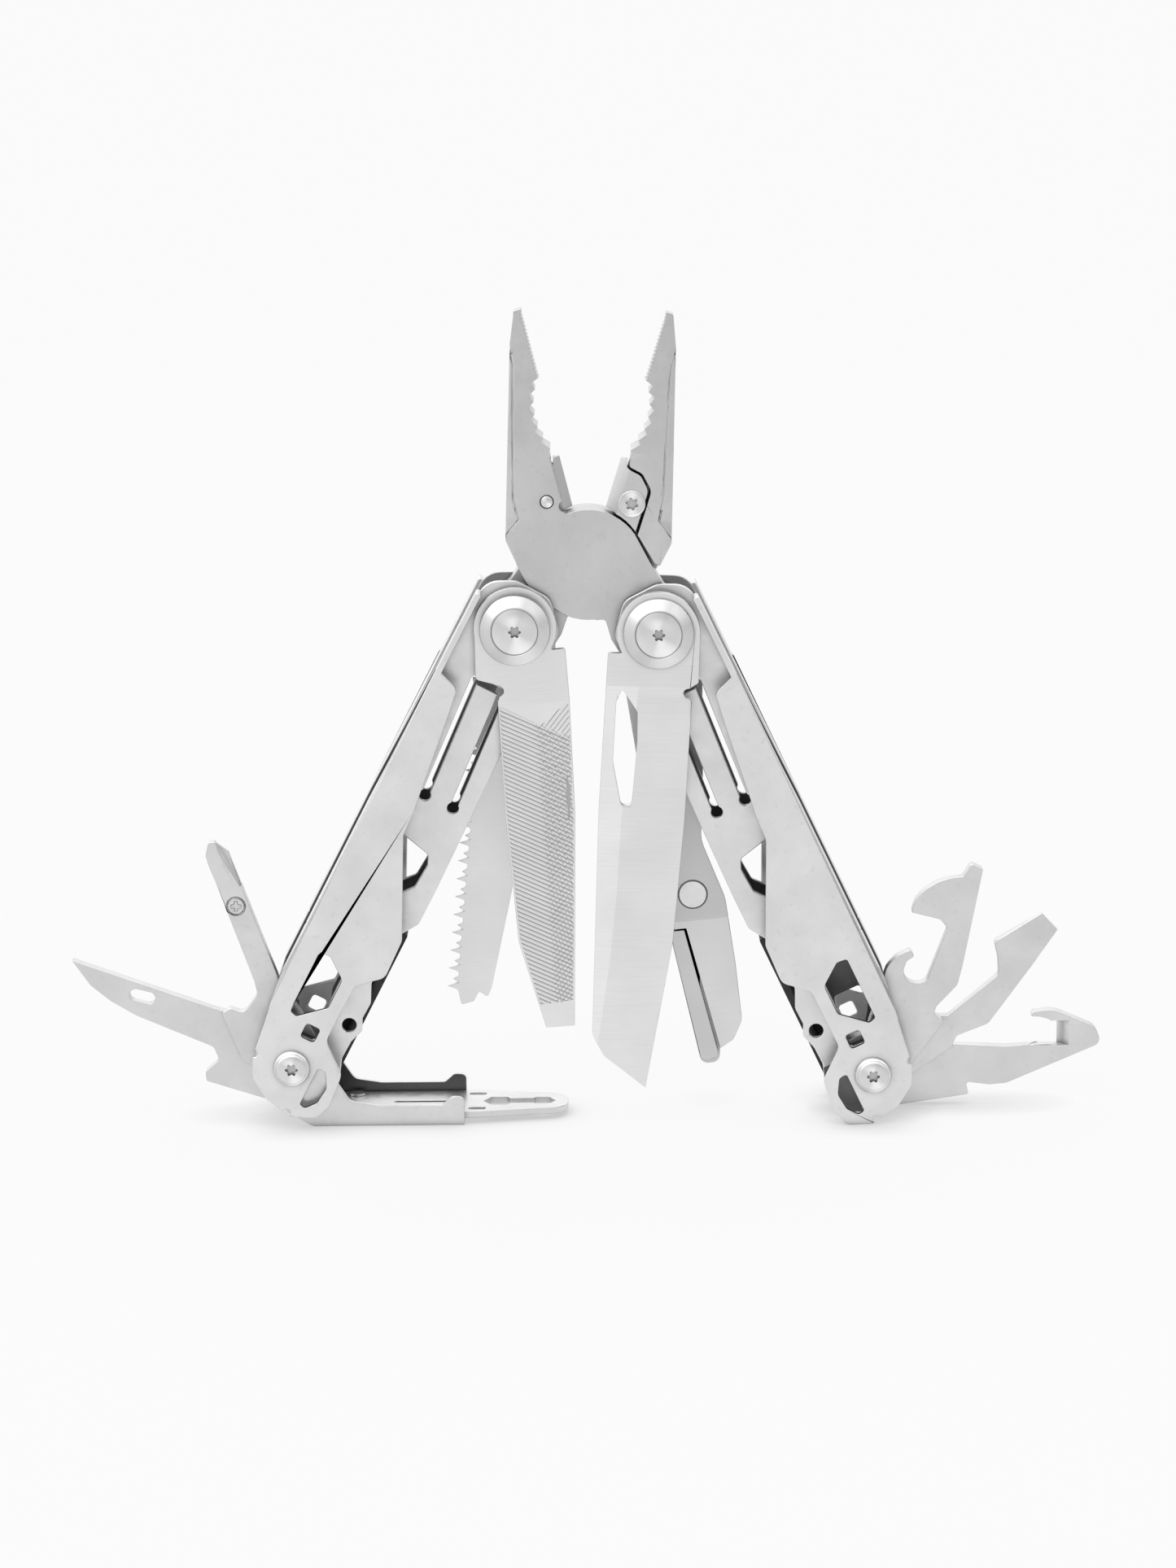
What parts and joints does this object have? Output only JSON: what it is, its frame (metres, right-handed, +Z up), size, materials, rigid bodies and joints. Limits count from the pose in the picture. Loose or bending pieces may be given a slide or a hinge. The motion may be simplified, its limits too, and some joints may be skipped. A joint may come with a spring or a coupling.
{
  "type": "multi tool",
  "caption": "Folding multi tool standing open: pliers with cutters on two hinged handles, knife, file, saw, scissors, drivers, awl, openers and a wrench tray.",
  "frame": {"origin": "centre of the footprint, on the surface that the tool stands on", "axes": "+X to the right across the open handles, +Y from front to back along the hinge pins, +Z up"},
  "size_m": [0.1888, 0.0232, 0.1484],
  "materials": {
    "plier_steel": "bead-blasted satin stainless steel",
    "cutter_steel": "ground satin steel",
    "handle_steel": "bead-blasted satin stainless steel",
    "blade_steel": "fine satin ground steel",
    "tool_steel": "tumbled satin steel",
    "tray_steel": "satin pressed steel",
    "turned_steel": "bright lathe-turned steel",
    "dark_spring_steel": "blackened spring steel"
  },
  "bodies": {
    "plier_front": {"plier_front_jaw": "plier_steel", "plier_pivot_pin": "plier_steel", "left_cutter": "cutter_steel", "left_cutter_screw": "turned_steel"},
    "plier_rear": {"plier_rear_jaw": "plier_steel", "right_cutter": "cutter_steel", "right_cutter_screw": "turned_steel"},
    "left_handle": {"left_liner_front": "handle_steel", "left_liner_rear": "handle_steel", "left_spine": "turned_steel", "left_cover_front": "handle_steel", "left_cover_rear": "handle_steel", "left_lock_plate_front": "handle_steel", "left_lock_plate_rear": "handle_steel", "left_back_spring": "dark_spring_steel", "left_top_pin": "turned_steel", "left_top_cap_front": "turned_steel", "left_top_cap_rear": "turned_steel", "left_top_washers": "turned_steel", "left_bottom_pin": "turned_steel", "left_bottom_screws": "turned_steel", "left_bottom_washers": "turned_steel"},
    "right_handle": {"right_liner_front": "handle_steel", "right_liner_rear": "handle_steel", "right_spine": "turned_steel", "right_cover_front": "handle_steel", "right_cover_rear": "handle_steel", "right_lock_plate_front": "handle_steel", "right_lock_plate_rear": "handle_steel", "right_back_spring": "dark_spring_steel", "right_top_pin": "turned_steel", "right_top_cap_front": "turned_steel", "right_top_cap_rear": "turned_steel", "right_top_washers": "turned_steel", "right_bottom_pin": "turned_steel", "right_bottom_screws": "turned_steel", "right_bottom_washers": "turned_steel"},
    "file": {"file": "blade_steel"},
    "saw": {"saw": "blade_steel"},
    "knife": {"knife": "blade_steel"},
    "scissors": {"scissors_blade": "blade_steel", "scissors_rivet": "turned_steel", "scissors_spring": "dark_spring_steel"},
    "scissors_lever": {"scissors_lever": "blade_steel"},
    "awl": {"awl": "tool_steel"},
    "phillips_driver": {"phillips_driver": "tool_steel"},
    "wrench_tray": {"wrench_tray": "tray_steel", "wrench_tongue": "tray_steel", "tray_rivets": "turned_steel"},
    "can_opener": {"can_opener": "tool_steel"},
    "flat_driver": {"flat_driver": "tool_steel"},
    "hook_blade": {"hook_blade": "tool_steel"}
  },
  "joints": [
    {"name": "jaw_pivot", "type": "hinge", "parent": "plier_front", "child": "plier_rear", "pos_m": [0.00075, 0, 0.10268], "axis": [0, -1, 0], "range_deg": [0, 25]},
    {"name": "left_handle_fold", "type": "hinge", "parent": "plier_rear", "child": "left_handle", "pos_m": [-0.01241, 0, 0.09206], "axis": [0, 1, 0], "range_deg": [0, 158]},
    {"name": "right_handle_fold", "type": "hinge", "parent": "plier_front", "child": "right_handle", "pos_m": [0.01321, 0, 0.09126], "axis": [0, -1, 0], "range_deg": [0, 155]},
    {"name": "file_pivot", "type": "hinge", "parent": "left_handle", "child": "file", "pos_m": [-0.01241, 0, 0.09206], "axis": [0, 1, 0], "range_deg": [-33, 33.4]},
    {"name": "saw_pivot", "type": "hinge", "parent": "left_handle", "child": "saw", "pos_m": [-0.01241, 0, 0.09206], "axis": [0, 1, 0], "range_deg": [-33, 22]},
    {"name": "knife_pivot", "type": "hinge", "parent": "right_handle", "child": "knife", "pos_m": [0.01321, 0, 0.09126], "axis": [0, -1, 0], "range_deg": [-27, 27.3]},
    {"name": "scissors_pivot", "type": "hinge", "parent": "right_handle", "child": "scissors", "pos_m": [0.01321, 0, 0.09126], "axis": [0, -1, 0], "range_deg": [-27, 19.4]},
    {"name": "scissors_lever_pivot", "type": "hinge", "parent": "scissors", "child": "scissors_lever", "pos_m": [0.01946, 0, 0.03962], "axis": [0, -1, 0], "range_deg": [-20, 0]},
    {"name": "awl_pivot", "type": "hinge", "parent": "left_handle", "child": "awl", "pos_m": [-0.05401, 0, 0.0118], "axis": [0, 1, 0], "range_deg": [-45, 89]},
    {"name": "phillips_pivot", "type": "hinge", "parent": "left_handle", "child": "phillips_driver", "pos_m": [-0.05401, 0, 0.0118], "axis": [0, 1, 0], "range_deg": [-100, 46]},
    {"name": "tray_pivot", "type": "hinge", "parent": "left_handle", "child": "wrench_tray", "pos_m": [-0.05401, 0, 0.0118], "axis": [0, -1, 0], "range_deg": [-20, 61]},
    {"name": "can_opener_pivot", "type": "hinge", "parent": "right_handle", "child": "can_opener", "pos_m": [0.0517, 0, 0.00946], "axis": [0, -1, 0], "range_deg": [-120, 52]},
    {"name": "flat_driver_pivot", "type": "hinge", "parent": "right_handle", "child": "flat_driver", "pos_m": [0.0517, 0, 0.00946], "axis": [0, -1, 0], "range_deg": [-100, 77]},
    {"name": "hook_pivot", "type": "hinge", "parent": "right_handle", "child": "hook_blade", "pos_m": [0.0517, 0, 0.00946], "axis": [0, -1, 0], "range_deg": [-60, 110]}
  ]
}
